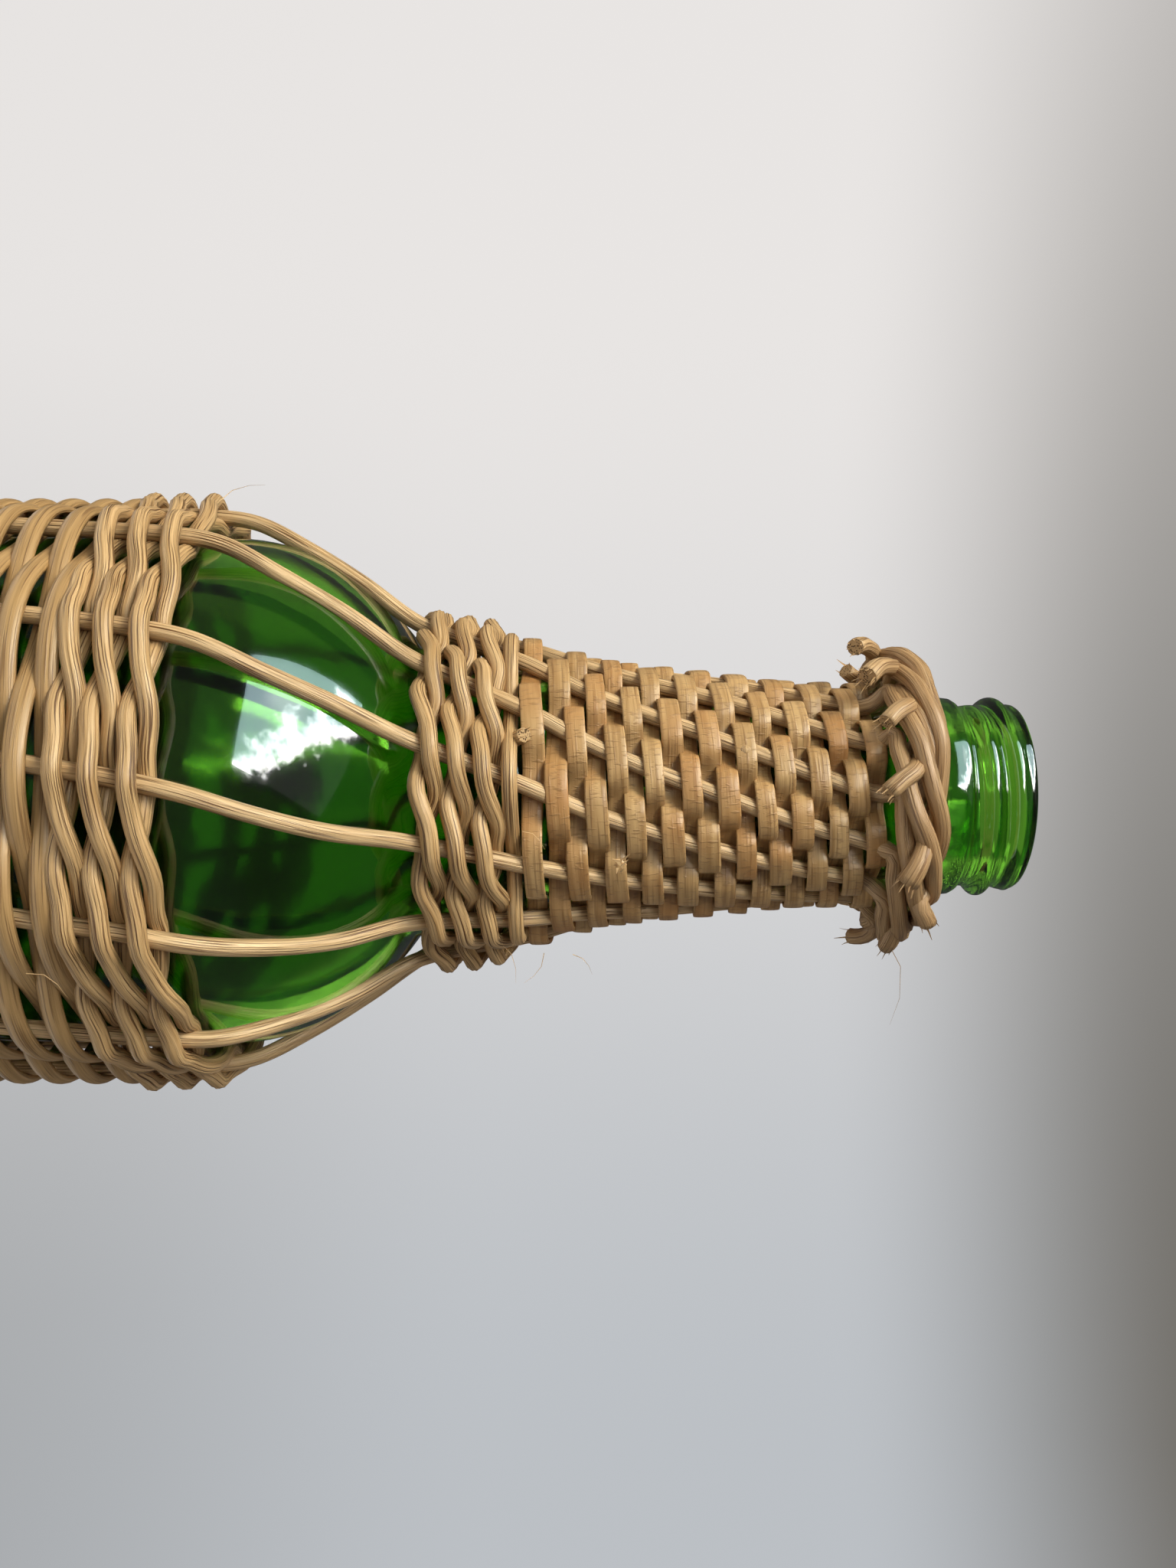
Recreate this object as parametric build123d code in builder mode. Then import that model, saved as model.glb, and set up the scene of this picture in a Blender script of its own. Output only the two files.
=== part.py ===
from build123d import *
import os
from math import asin, cos, floor, hypot, pi, radians, sin, sqrt

os.makedirs("parts", exist_ok=True)

# Bottle: body, shoulder, neck and finish stand on one another
body_top_height = 188.0
shoulder_height = 25.6
neck_length = 72.8
bead_height = 4.8
lip_drop = 7.2
lip_height = 1.6
body_radius = 36.5
neck_root_radius = 21.15
neck_top_radius = 12.3
bead_out = 2.15
finish_out = 0.9
lip_out = 1.25
glass_seat_height = 6.2
heel_chamfer = 5.0
bead_chamfer = 1.1
lip_chamfer = 0.5
body_wall = 2.5
floor_wall = 4.0
neck_wall = 3.05
mouth_depth = 38.0
neck_hollow = 2.4
shoulder_cut_share = 0.711
shoulder_spread_share = 0.8
shoulder_steps = 3
inner_shoulder_steps = 2

# Stakes: upright round reeds
stake_count = 13
stake_radius = 1.15
stake_stand_off = 3.4
stake_foot_height = 0.3
reed_sides = 4
reed_gap = 0.15
lean_height_shares = (0.0, 0.333, 0.5, 0.57, 0.63, 0.725, 0.759, 0.809, 0.852, 0.909, 0.926, 1.0)
lean_angles = (-16.0, -13.0, -9.0, -5.0, 0.0, 18.0, 26.0, 42.0, 55.0, 76.0, 82.0, 112.0)
body_stake_shares = (0.636, 0.89)
shoulder_stake_shares = (0.4, 0.66, 0.88)
cane_settle_share = 0.158
neck_stake_steps = 3
dome_gap = 0.3

# Weaving starts and ends at the back, this many stakes on from the front one
weave_start = 7
end_gap = 1.0

# Foot wale: three round rods, each over two stakes and behind one
rod_radius = 1.05
foot_rod_count = 3
foot_over_clearance = 0.25
foot_mid_inset = 0.41
foot_over_rise = 1.15
foot_mid_rise = 1.3
foot_mid_share = 0.38
foot_wale_gap = 0.1

# Paired rows: two round rods that cross between the stakes, one over and one behind each
pair_rows = 3
pair_rod_count = 2
shoulder_pair_drop = 13.4
shoulder_pair_pitch = 4.3
shoulder_crossing_shares = (0.48, 0.58)
shoulder_offset_shares = (1.266, 0.063, -1.027, -0.396)
shoulder_rise_shares = (-0.643, 0.536, 0.357, -0.519)
neck_rod_radius = 0.9
neck_pair_rise = 1.7
neck_pair_pitch = 4.0
neck_crossing_shares = (0.41, 0.46)
neck_offset_shares = (1.41, 0.605, -1.161, -0.293)
neck_rise_shares = (-0.578, 0.367, 0.089, -0.806)
closing_rod_rise = 10.7
closing_over_clearance = 0.3

# Plain weave: half-round reed on the body, flat cane on the neck
reed_thickness = 1.0
reed_over_clearance = 0.3
row_gap = 0.25
body_weaver_count = 11
body_weaver_turns = 4
cane_thickness = 0.7
cane_over_clearance = 0.5
cane_gap = 0.3
cane_count = 9
cane_turns = 2

# Border: each stake's end coils up over the ring of those that follow it, and comes out under it
border_ring_out = 5.5
border_drop = 17.9
border_coil_radius = 2.6
border_lead_angle = 2.0
border_start_angle = -95.0
border_end_angle = 200.0
border_advance_angle = 108.5
border_steps = 6
border_entry_drop = 6.8
border_tail_turn_angle = 14.0
border_tail_end_angle = 26.0
border_tail_out = 2.8
border_tail_drop = 5.8

# Base: spokes and one weaver under the glass
spoke_radius = 0.9
spoke_inner_radius = 4.6
spoke_end_gap = 0.5
base_reed_radius = 0.7
base_reed_clearance = 0.35
base_weave_radius = 14.0
base_weave_pitch = 7.0
base_weave_turns = 3

# Heights and radii that follow
neck_root_height = body_top_height + shoulder_height
bead_bottom_height = neck_root_height + neck_length
bead_top_height = bead_bottom_height + bead_height
lip_bottom_height = bead_top_height + lip_drop
bottle_height = lip_bottom_height + lip_height
shoulder_rise = shoulder_height / shoulder_cut_share
shoulder_reach = (body_radius - neck_root_radius) / (1 - sqrt(1 - shoulder_cut_share**2))
border_height = bottle_height - border_drop
border_entry_height = border_height - border_entry_drop
border_ring_radius = neck_top_radius + border_ring_out
stake_step = 360.0 / stake_count


def lean(height):
    share = min(max(height / bottle_height, 0.0), 1.0)
    for i in range(len(lean_angles) - 1):
        low, high = lean_height_shares[i], lean_height_shares[i + 1]
        if share <= high:
            part = (share - low) / (high - low)
            return lean_angles[i] + part * (lean_angles[i + 1] - lean_angles[i])
    return lean_angles[-1]


def shoulder_radius(height):
    rise = (height - body_top_height) / shoulder_rise
    return body_radius - shoulder_reach * (1 - sqrt(1 - rise * rise))


def glass_radius(height):
    if height <= body_top_height:
        return body_radius
    if height <= neck_root_height:
        return shoulder_radius(height)
    share = (height - neck_root_height) / (bead_bottom_height - neck_root_height)
    straight = neck_root_radius + share * (neck_top_radius - neck_root_radius)
    return straight - 4 * neck_hollow * share * (1 - share)


def ring_point(angle, radius, height):
    # Angles run from the front, towards the right
    return Vector(radius * sin(radians(angle)), -radius * cos(radians(angle)), height)


def section_plane(points, outward):
    along = (points[1] - points[0]).normalized()
    return Plane(origin=points[0], x_dir=outward - along * outward.dot(along), z_dir=along)


def outward_at(point):
    return Vector(point.X, point.Y, 0).normalized()


def trimmed(points):
    # A little is cut off both ends, so that the next reed starts clear of this one
    first = points[0] + (points[1] - points[0]).normalized() * (end_gap / 2)
    last = points[-1] + (points[-2] - points[-1]).normalized() * (end_gap / 2)
    return [first] + points[1:-1] + [last]


# Glass bottle: the dome is short straight steps, to keep the facets few
floor_height = glass_seat_height + floor_wall
inner_radius = body_radius - body_wall
mouth_radius = neck_top_radius - neck_wall
mouth_bottom_height = bottle_height - mouth_depth
bead_radius = neck_top_radius + bead_out
finish_radius = neck_top_radius + finish_out
lip_radius = neck_top_radius + lip_out


def shoulder_points(steps):
    span = neck_root_height - body_top_height
    heights = [body_top_height + span * (i / steps) ** shoulder_spread_share for i in range(steps + 1)]
    return [Vector(glass_radius(height), height) for height in heights]


inner_shoulder = [
    point - Vector(body_wall, body_wall * i / inner_shoulder_steps)
    for i, point in enumerate(shoulder_points(inner_shoulder_steps))
]
neck_middle_height = (neck_root_height + bead_bottom_height) / 2
with BuildPart() as glass_bottle:
    with BuildSketch(Plane.XZ) as wall:
        with BuildLine():
            neck = ThreePointArc(
                (neck_root_radius, neck_root_height),
                (glass_radius(neck_middle_height), neck_middle_height),
                (neck_top_radius, bead_bottom_height),
            )
            Polyline(
                neck @ 1,
                (bead_radius, bead_bottom_height),
                (bead_radius, bead_top_height),
                (finish_radius, bead_top_height),
                (finish_radius, lip_bottom_height),
                (lip_radius, lip_bottom_height),
                (lip_radius, bottle_height),
                (mouth_radius, bottle_height),
                (mouth_radius, mouth_bottom_height),
                *reversed(inner_shoulder),
                (inner_radius, floor_height),
                (0, floor_height),
                (0, glass_seat_height),
                (body_radius, glass_seat_height),
                *shoulder_points(shoulder_steps),
            )
        make_face()
        for radius, height, size in (
            (body_radius, glass_seat_height, heel_chamfer),
            (bead_radius, bead_top_height, bead_chamfer),
            (bead_radius, bead_bottom_height, bead_chamfer),
            (lip_radius, bottle_height, lip_chamfer),
        ):
            chamfer(wall.vertices().sort_by_distance((radius, height))[0], size)
    revolve(axis=Axis.Z)
glass_bottle.part.label = "glass_bottle"
export_step(glass_bottle.part, "parts/glass_bottle.step")


# Stakes
shoulder_pair_height = body_top_height - shoulder_pair_drop
shoulder_pair_end_height = shoulder_pair_height + pair_rows * shoulder_pair_pitch + rod_radius
neck_pair_height = neck_root_height + neck_pair_rise
closing_rod_height = neck_pair_height + closing_rod_rise
closing_end_height = closing_rod_height + neck_pair_pitch
cane_settle_height = closing_end_height + cane_settle_share * (border_entry_height - closing_end_height)


def shoulder_stake_point(share, index):
    # A stake lies along the dome, off the glass by its own radius and a gap, square to the surface
    turn = share * asin(shoulder_cut_share)
    off = Vector(cos(turn) / shoulder_reach, sin(turn) / shoulder_rise).normalized()
    off = off * (stake_radius + dome_gap)
    radius = body_radius - shoulder_reach * (1 - cos(turn)) + off.X
    height = body_top_height + shoulder_rise * sin(turn) + off.Y
    return ring_point(index * stake_step + lean(height), radius, height)


def stand_off(height):
    # Above the paired rows the stakes come in close, with only the cane behind them
    part = min(max((height - closing_end_height) / (cane_settle_height - closing_end_height), 0.0), 1.0)
    return stake_stand_off + part * (stake_radius + cane_thickness + 2 * cane_gap - stake_stand_off)


def stake_centre(index, height):
    return ring_point(index * stake_step + lean(height), glass_radius(height) + stand_off(height), height)


def border_points(index):
    start = index * stake_step + lean(border_entry_height) + border_lead_angle
    path = []
    for i in range(border_steps + 1):
        share = i / border_steps
        turn = radians(border_start_angle + share * (border_end_angle - border_start_angle))
        radius = border_ring_radius + border_coil_radius * cos(turn)
        height = border_height + border_coil_radius * sin(turn)
        path.append(ring_point(start + share * border_advance_angle, radius, height))
    # The tail turns inside the ring and comes out below it, between two stakes
    end = start + border_advance_angle
    inner_radius = border_ring_radius - border_coil_radius
    outer_radius = border_ring_radius + border_tail_out
    path.append(ring_point(end + border_tail_turn_angle, inner_radius, border_height - border_coil_radius))
    path.append(ring_point(end + border_tail_end_angle, outer_radius, border_height - border_tail_drop))
    return path


def upright_points(index):
    heights = [stake_foot_height] + [share * shoulder_pair_end_height for share in body_stake_shares]
    path = [stake_centre(index, height) for height in heights + [shoulder_pair_end_height]]
    path += [shoulder_stake_point(share, index) for share in shoulder_stake_shares]
    span = border_entry_height - cane_settle_height
    heights = [neck_pair_height + neck_pair_pitch / 2, closing_end_height]
    heights += [cane_settle_height + span * i / neck_stake_steps for i in range(neck_stake_steps + 1)]
    return path + [stake_centre(index, height) for height in heights]


def stake_at(index, height):
    # Where this height falls on the stake's own straight steps
    path = upright_points(index)
    for low, high in zip(path, path[1:]):
        if height <= high.Z:
            break
    return low + (high - low) * ((height - low.Z) / (high.Z - low.Z))


for index in range(stake_count):
    points = upright_points(index) + border_points(index)
    with BuildPart() as stake:
        with BuildLine():
            Polyline(*points)
        with BuildSketch(section_plane(points, outward_at(points[0]))):
            RegularPolygon(stake_radius, reed_sides)
        sweep(transition=Transition.RIGHT)
    stake.part.label = f"stake_{index + 1:02d}"
    export_step(stake.part, f"parts/stake_{index + 1:02d}.step")


# Plain weave: a reed starts at the back, behind its first stake and over its second, and climbs
def weave_point(step, height, over, under):
    centre = stake_at(weave_start + step, height)
    offset = over if step % 2 else -under
    return centre + outward_at(centre) * offset


def weave_reed(points, width, thickness, turn):
    # A half-round reed, flat side in, turned a little so that it stays upright over its whole length
    side = hypot(width / 2, thickness)
    points = trimmed(points)
    with BuildPart() as reed:
        with BuildLine():
            Polyline(*points)
        with BuildSketch(section_plane(points, outward_at(points[0]))):
            Triangle(a=width, b=side, c=side, align=(Align.CENTER, Align.CENTER), rotation=turn - 90)
        sweep(transition=Transition.RIGHT)
    return reed


def half_twist(pitch, radius, steps):
    # A reed that climbs turns on itself by this much over half its length
    return 180.0 * steps / stake_count * pitch / (2 * pi * radius)


# Foot wale: low over one stake, high over the next, then inside the third
def rod_point(step, height, offset):
    here, beyond = stake_at(floor(step), height), stake_at(floor(step) + 1, height)
    between = outward_at(here + (beyond - here) * (step - floor(step)))
    return between * (hypot(here.X, here.Y) + offset) + Vector(0, 0, height)


def rod_path(first_stroke, first_step, last_step, start_height, pitch, stations):
    # A station is the share of a step past its stroke's stake, an offset off the ring and a rise
    path = []
    for step in range(first_step, last_step + 1):
        for share, offset, rise in stations[(first_stroke + step) % len(stations)]:
            if step + share <= last_step:
                height = start_height + pitch * (step + share) / stake_count + rise
                path.append(rod_point(weave_start + step + share, height, offset))
    return path


def round_rods(paths, radius):
    with BuildPart() as rods:
        for path in paths:
            points = trimmed(path)
            with BuildLine():
                Polyline(*points)
            with BuildSketch(section_plane(points, outward_at(points[0]))):
                RegularPolygon(radius, reed_sides)
            sweep(transition=Transition.RIGHT)
    return rods


foot_wale_height = foot_mid_rise + rod_radius
foot_over_offset = stake_radius + rod_radius + foot_over_clearance
foot_stations = (
    ((0.0, foot_over_offset, -foot_over_rise),),
    ((0.0, foot_over_offset, foot_over_rise), (foot_mid_share, -foot_mid_inset, foot_mid_rise)),
    ((1 - foot_mid_share, -foot_mid_inset, -foot_mid_rise),),
)
for number in range(foot_rod_count):
    rod = round_rods([rod_path(number, 0, stake_count, foot_wale_height, 0.0, foot_stations)], rod_radius)
    rod.part.label = f"foot_wale_{number + 1}"
    export_step(rod.part, f"parts/foot_wale_{number + 1}.step")


# Paired rows at the shoulder and at the foot of the neck: each node is one turn of both rods
def pair_stations(radius, crossing_shares, offset_shares, rise_shares):
    # Over a stake, crossing, behind the next stake, crossing again
    offsets = [share * (stake_radius + radius) for share in offset_shares]
    rises = [share * 2 * radius for share in rise_shares]
    return (
        ((0.0, offsets[0], rises[0]), (crossing_shares[0], offsets[1], rises[1])),
        ((0.0, offsets[2], rises[2]), (crossing_shares[1], offsets[3], rises[3])),
    )


shoulder_stations = pair_stations(
    rod_radius, shoulder_crossing_shares, shoulder_offset_shares, shoulder_rise_shares
)
neck_stations = pair_stations(neck_rod_radius, neck_crossing_shares, neck_offset_shares, neck_rise_shares)
for name, height, pitch, radius, stations in (
    ("shoulder_wale", shoulder_pair_height, shoulder_pair_pitch, rod_radius, shoulder_stations),
    ("neck_wale", neck_pair_height, neck_pair_pitch, neck_rod_radius, neck_stations),
):
    for row in range(pair_rows):
        first, last = row * stake_count, (row + 1) * stake_count
        paths = [rod_path(number, first, last, height, pitch, stations) for number in range(pair_rod_count)]
        pair = round_rods(paths, radius)
        pair.part.label = f"{name}_{row + 1}"
        export_step(pair.part, f"parts/{name}_{row + 1}.step")

closing_under = stake_radius + reed_gap + neck_rod_radius
closing_over = closing_under + closing_over_clearance
closing_points = [
    weave_point(step, closing_rod_height + neck_pair_pitch * step / stake_count, closing_over, closing_under)
    for step in range(stake_count + 1)
]
closing_rod = round_rods([closing_points], neck_rod_radius)
closing_rod.part.label = "closing_rod"
export_step(closing_rod.part, "parts/closing_rod.step")


# Body reeds: they fill the height from the foot wale to the paired rows, in whole turns
body_under = stake_radius + reed_gap + reed_thickness / 2
body_over = body_under + reed_over_clearance
body_turns = body_weaver_count * body_weaver_turns
body_low_height = foot_wale_height + foot_mid_rise + rod_radius + foot_wale_gap
body_high_height = shoulder_pair_height + 2 * rod_radius * min(shoulder_rise_shares) - rod_radius
reed_pitch = (body_high_height - body_low_height) / body_turns
reed_width = reed_pitch - row_gap


def body_reed_height(step):
    # The last turn climbs as the paired rows above it do
    last = max(step - (body_turns - 1) * stake_count, 0)
    climb = (reed_pitch * (step - last) + shoulder_pair_pitch * last) / stake_count
    return body_low_height + reed_pitch / 2 + climb


# The count goes on from the wale's turn, so that the last row lies as in the photograph
for number in range(body_weaver_count):
    first, last = (turns * body_weaver_turns * stake_count for turns in (number, number + 1))
    points = [
        weave_point(stake_count + step, body_reed_height(step), body_over, body_under)
        for step in range(first, last + 1)
    ]
    twist = half_twist(reed_pitch, body_radius + stake_stand_off, last - first)
    reed = weave_reed(points, reed_width, reed_thickness, twist)
    reed.part.label = f"body_weaver_{number + 1:02d}"
    export_step(reed.part, f"parts/body_weaver_{number + 1:02d}.step")


# Neck cane: from the closing rod to where the stakes turn into the border
cane_under = stake_radius + cane_gap + cane_thickness / 2
cane_over = cane_under + cane_over_clearance
cane_low_height = closing_rod_height + neck_rod_radius + row_gap
cane_pitch = (border_entry_height - cane_low_height - neck_pair_pitch) / (cane_count * cane_turns)
cane_width = cane_pitch - row_gap


def cane_row_height(step):
    # The first turn climbs as the closing rod below it does
    first = min(step, stake_count)
    climb = (neck_pair_pitch * first + cane_pitch * (step - first)) / stake_count
    return cane_low_height + cane_pitch / 2 + climb


for number in range(cane_count):
    first, last = (turns * cane_turns * stake_count for turns in (number, number + 1))
    points = [
        weave_point(stake_count + step, cane_row_height(step), cane_over, cane_under)
        for step in range(first, last + 1)
    ]
    twist = half_twist(cane_pitch, hypot(points[0].X, points[0].Y), last - first)
    cane = weave_reed(points, cane_width, cane_thickness, twist)
    cane.part.label = f"neck_cane_{number + 1:02d}"
    export_step(cane.part, f"parts/neck_cane_{number + 1:02d}.step")


# Base: spokes under the glass, one short of meeting, and a reed woven round them
spoke_height = glass_seat_height / 2
spoke_length = body_radius - spoke_end_gap - spoke_inner_radius
with BuildPart() as base_spokes:
    for index in range(stake_count):
        inner = ring_point(index * stake_step, spoke_inner_radius, spoke_height)
        with BuildSketch(Plane(origin=inner, x_dir=(0, 0, 1), z_dir=outward_at(inner))):
            RegularPolygon(spoke_radius, reed_sides)
        extrude(amount=spoke_length)
base_spokes.part.label = "base_spokes"
export_step(base_spokes.part, "parts/base_spokes.step")

base_reed_rise = spoke_radius + base_reed_radius + base_reed_clearance
base_points = [
    ring_point(
        step * stake_step,
        base_weave_radius + base_weave_pitch * step / stake_count,
        spoke_height + (base_reed_rise if step % 2 else -base_reed_rise),
    )
    for step in range(base_weave_turns * stake_count + 1)
]
base_weaver = round_rods([base_points], base_reed_radius)
base_weaver.part.label = "base_weaver"
export_step(base_weaver.part, "parts/base_weaver.step")
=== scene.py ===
import bpy
from math import atan2, cos, exp, floor, hypot, pi, radians, sin, sqrt, tanh
from mathutils import Matrix, Vector, noise
from random import Random


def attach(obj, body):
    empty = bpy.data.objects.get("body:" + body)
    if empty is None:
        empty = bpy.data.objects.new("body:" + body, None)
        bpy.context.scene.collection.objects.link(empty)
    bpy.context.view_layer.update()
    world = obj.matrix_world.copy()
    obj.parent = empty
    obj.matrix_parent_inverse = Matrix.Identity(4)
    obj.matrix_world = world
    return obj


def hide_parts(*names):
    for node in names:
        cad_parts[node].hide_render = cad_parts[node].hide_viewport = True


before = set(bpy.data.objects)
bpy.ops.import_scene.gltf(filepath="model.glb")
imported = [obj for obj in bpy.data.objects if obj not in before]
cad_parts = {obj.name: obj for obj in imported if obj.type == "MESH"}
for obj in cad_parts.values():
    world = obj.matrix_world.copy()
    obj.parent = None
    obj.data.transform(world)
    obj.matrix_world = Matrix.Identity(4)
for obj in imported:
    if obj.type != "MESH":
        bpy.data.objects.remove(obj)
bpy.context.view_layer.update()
mm = 0.001
bpy.ops.object.select_all(action="DESELECT")
print("frame loaded")

# The bottle's own sizes, in millimetres, with angles in degrees from the front towards +X
bottle = dict(height=300.0, seat=6.2, bodyRadius=36.5, bodyTop=188.0, shoulderReach=51.7, shoulderRise=36.0,
              neckRoot=213.6, neckTop=12.3, neckHollow=2.4, beadBottom=286.4, mouth=9.25)
stakeCount = 13
stakeStep = 360.0 / stakeCount
weaveStart = 7  # every weaver starts at the back

# At each height, how far the stakes have turned and how far from the axis they run
leanTable = [(0, -16), (100, -13), (150, -9), (171, -5), (189, 0), (203, 8.5), (217.5, 18), (227.7, 26),
             (242.7, 42), (255.6, 55), (272.7, 76), (277.8, 82), (300, 112)]
reachTable = [(0, 39.9), (100, 39.9), (178, 39.9), (184, 39.7), (188.4, 39.3), (192, 38.0), (197.3, 35.3),
              (202, 32.6), (206, 30.2), (212, 26.0), (217.3, 23.5), (224, 22.2), (230.7, 20.6), (234.5, 19.4),
              (238, 18.6), (243, 17.7), (250, 16.8), (258, 15.95), (266, 15.2), (276.8, 14.75), (284, 15.2)]

# They stand unevenly over the shoulder: extra degrees by place round the bottle, and how much of it by height
spreadTable = [(-6.5, 0), (-5, -1.5), (-4, -3.5), (-3, -5.5), (-2, -6.5), (-1, -4.5), (0, -1), (1, 1.5),
               (2, 2), (3, 1.5), (5, 0.5), (6.5, 0)]
spreadRise = [(0, 0), (182, 0), (192, 0.3), (208, 1), (217, 1), (227, 0.75), (240, 0.4), (256, 0), (300, 0)]


def tableValue(table, x):
    # a smooth curve through the table's points
    x = min(max(x, table[0][0]), table[-1][0])
    i = max(k for k in range(len(table) - 1) if table[k][0] <= x)
    (x0, y0), (x1, y1) = table[i], table[i + 1]
    slope = lambda a, b: (b[1] - a[1]) / (b[0] - a[0])
    here = slope(table[i], table[i + 1])
    m0 = (here + slope(table[i - 1], table[i])) / 2 if i > 0 else here
    m1 = (here + slope(table[i + 1], table[i + 2])) / 2 if i + 2 < len(table) else here
    h, t = x1 - x0, (x - x0) / (x1 - x0)
    return ((2 * t ** 3 - 3 * t ** 2 + 1) * y0 + (t ** 3 - 2 * t ** 2 + t) * h * m0
            + (3 * t ** 2 - 2 * t ** 3) * y1 + (t ** 3 - t ** 2) * h * m1)


def domeRadius(z):
    rise = (z - bottle["bodyTop"]) / bottle["shoulderRise"]
    return bottle["bodyRadius"] - bottle["shoulderReach"] * (1 - sqrt(1 - rise * rise))


def glassRadius(z):
    if z <= bottle["bodyTop"]:
        return bottle["bodyRadius"]
    if z <= bottle["neckRoot"]:
        return domeRadius(z)
    share = (z - bottle["neckRoot"]) / (bottle["beadBottom"] - bottle["neckRoot"])
    foot = domeRadius(bottle["neckRoot"])
    return foot + share * (bottle["neckTop"] - foot) - 4 * bottle["neckHollow"] * share * (1 - share)


def ringPoint(angle, radius, z):
    return Vector((radius * sin(radians(angle)), -radius * cos(radians(angle)), z))


def radial(point):
    return Vector((point.x, point.y, 0)).normalized()


def stakePoint(place, z, offset=0.0):
    # place counts the stakes, and a part of one lies between two of them
    half = stakeCount / 2
    spread = tableValue(spreadTable, (place + half) % stakeCount - half) * tableValue(spreadRise, z)
    angle = place * stakeStep + tableValue(leanTable, z) + spread
    return ringPoint(angle, tableValue(reachTable, z) + offset, z)


def smoothPath(knots, spacing):
    # a smooth line through the knots, with even steps
    path = []
    for i in range(len(knots) - 1):
        p0, p1, p2 = knots[max(i - 1, 0)], knots[i], knots[i + 1]
        p3 = knots[min(i + 2, len(knots) - 1)]
        steps = max(2, round((p2 - p1).length / spacing))
        for k in range(steps):
            t = k / steps
            path.append(0.5 * ((2 * p1) + (p2 - p0) * t + (2 * p0 - 5 * p1 + 4 * p2 - p3) * t * t
                               + (3 * p1 - p0 - 3 * p2 + p3) * t ** 3))
    return path + [knots[-1]]


def waver(*place):
    # a slow random bend, the same on every run
    return noise.noise(Vector(place))


# Sections of the reeds: across and outward, the seam on the inside
def roundSection(radius, sides, ridges, seed):
    pick = Random(seed)
    ring = []
    for k in range(sides):
        turn = 2 * pi * k / sides - pi / 2
        r = radius * (1 + (ridges if k % 2 else -ridges) * pick.uniform(0.1, 1.0))
        ring.append((r * cos(turn), r * sin(turn)))
    return ring


def flatSection(width, thick, crown):
    w, t = width / 2, thick / 2
    right = [(w * x, t * y) for x, y in ((0.72, -1), (0.97, -0.9), (1, -0.3), (0.965, 0.75 - crown),
                                         (0.82, 0.97 - crown * 0.8), (0.42, 1 - crown * 0.2))]
    return [(0, -t)] + right + [(0, t)] + [(-x, y) for x, y in reversed(right)]


def ringFaces(first, count, sides):
    # the faces between count rings of points, one after another
    return [(first + row * sides + k, first + row * sides + (k + 1) % sides,
             first + (row + 1) * sides + (k + 1) % sides, first + (row + 1) * sides + k)
            for row in range(count - 1) for k in range(sides)]


strandSerial = 0


def sweepStrand(name, path, section, skin, node=None, roll=None, swell=None, outward=radial):
    # one reed: its section carried along the path, with its length and girth kept in the UV map
    global strandSerial
    strandSerial += 1
    count, sides = len(path), len(section)
    verts, lengths, run = [], [], 0.0
    for i, point in enumerate(path):
        ahead, behind = path[min(i + 1, count - 1)], path[max(i - 1, 0)]
        along = (ahead - behind).normalized()
        out = outward(point)
        out = (out - along * out.dot(along)).normalized()
        across = along.cross(out)
        turn = roll(i, run) if roll else 0.0
        grow = swell(i, run) if swell else 1.0
        for a, b in section:
            x, y = grow * (a * cos(turn) - b * sin(turn)), grow * (a * sin(turn) + b * cos(turn))
            verts.append((point + across * x + out * y) * mm)
        lengths.append(run)
        run += (ahead - point).length
    faces = ringFaces(0, count, sides)
    faces += [tuple(range(sides - 1, -1, -1)), tuple(range((count - 1) * sides, count * sides))]
    mesh = bpy.data.meshes.new(name)
    mesh.from_pydata(verts, [], faces)
    uv = mesh.uv_layers.new(name="UVMap")
    places = []
    for i in range(count - 1):
        for k in range(sides):
            for side, row in ((k, i), (k + 1, i), (k + 1, i + 1), (k, i + 1)):
                places += [side / sides, strandSerial + lengths[row] * mm]
    for end in (list(range(sides - 1, -1, -1)), list(range(sides))):
        for k in end:
            places += [section[k][0] * mm, section[k][1] * mm]
    uv.data.foreach_set("uv", places)
    mesh.materials.append(skin)
    mesh.materials.append(cutSkin)
    mesh.polygons[-1].material_index = mesh.polygons[-2].material_index = 1
    mesh.polygons.foreach_set("use_smooth", [True] * (len(faces) - 2) + [False, False])
    piece = bpy.data.objects.new(name, mesh)
    bpy.context.scene.collection.objects.link(piece)
    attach(piece, "root")
    if node:
        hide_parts(node)
    return piece


# Materials: a node's inputs take a number, a colour or the socket that feeds them
def addNode(tree, kind, x, y, inputs=(), **settings):
    node = tree.nodes.new(kind)
    node.location = (x, y)
    for key, value in settings.items():
        setattr(node, key, value)
    for key, value in dict(inputs).items():
        if isinstance(value, bpy.types.NodeSocket):
            tree.links.new(value, node.inputs[key])
        else:
            node.inputs[key].default_value = value
    return node


def addMath(tree, operation, x, y, *values, clamp=False):
    node = addNode(tree, "ShaderNodeMath", x, y, enumerate(values), operation=operation, use_clamp=clamp)
    return node.outputs[0]


def addRange(tree, source, x, y, fromMin, fromMax, toMin=0.0, toMax=1.0, kind="LINEAR"):
    inputs = {"Value": source, "From Min": fromMin, "From Max": fromMax, "To Min": toMin, "To Max": toMax}
    return addNode(tree, "ShaderNodeMapRange", x, y, inputs, interpolation_type=kind).outputs[0]


def addNoise(tree, place, x, y, scale, detail, roughness=0.5):
    inputs = {"Vector": place, "Scale": scale, "Detail": detail, "Roughness": roughness}
    return addNode(tree, "ShaderNodeTexNoise", x, y, inputs).outputs["Fac"]


def addMix(tree, factor, x, y, first, second):
    colors = {key: color if isinstance(color, bpy.types.NodeSocket) else (*color, 1)
              for key, color in ((6, first), (7, second))}
    return addNode(tree, "ShaderNodeMix", x, y, {"Factor": factor, **colors}, data_type="RGBA").outputs[2]


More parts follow.
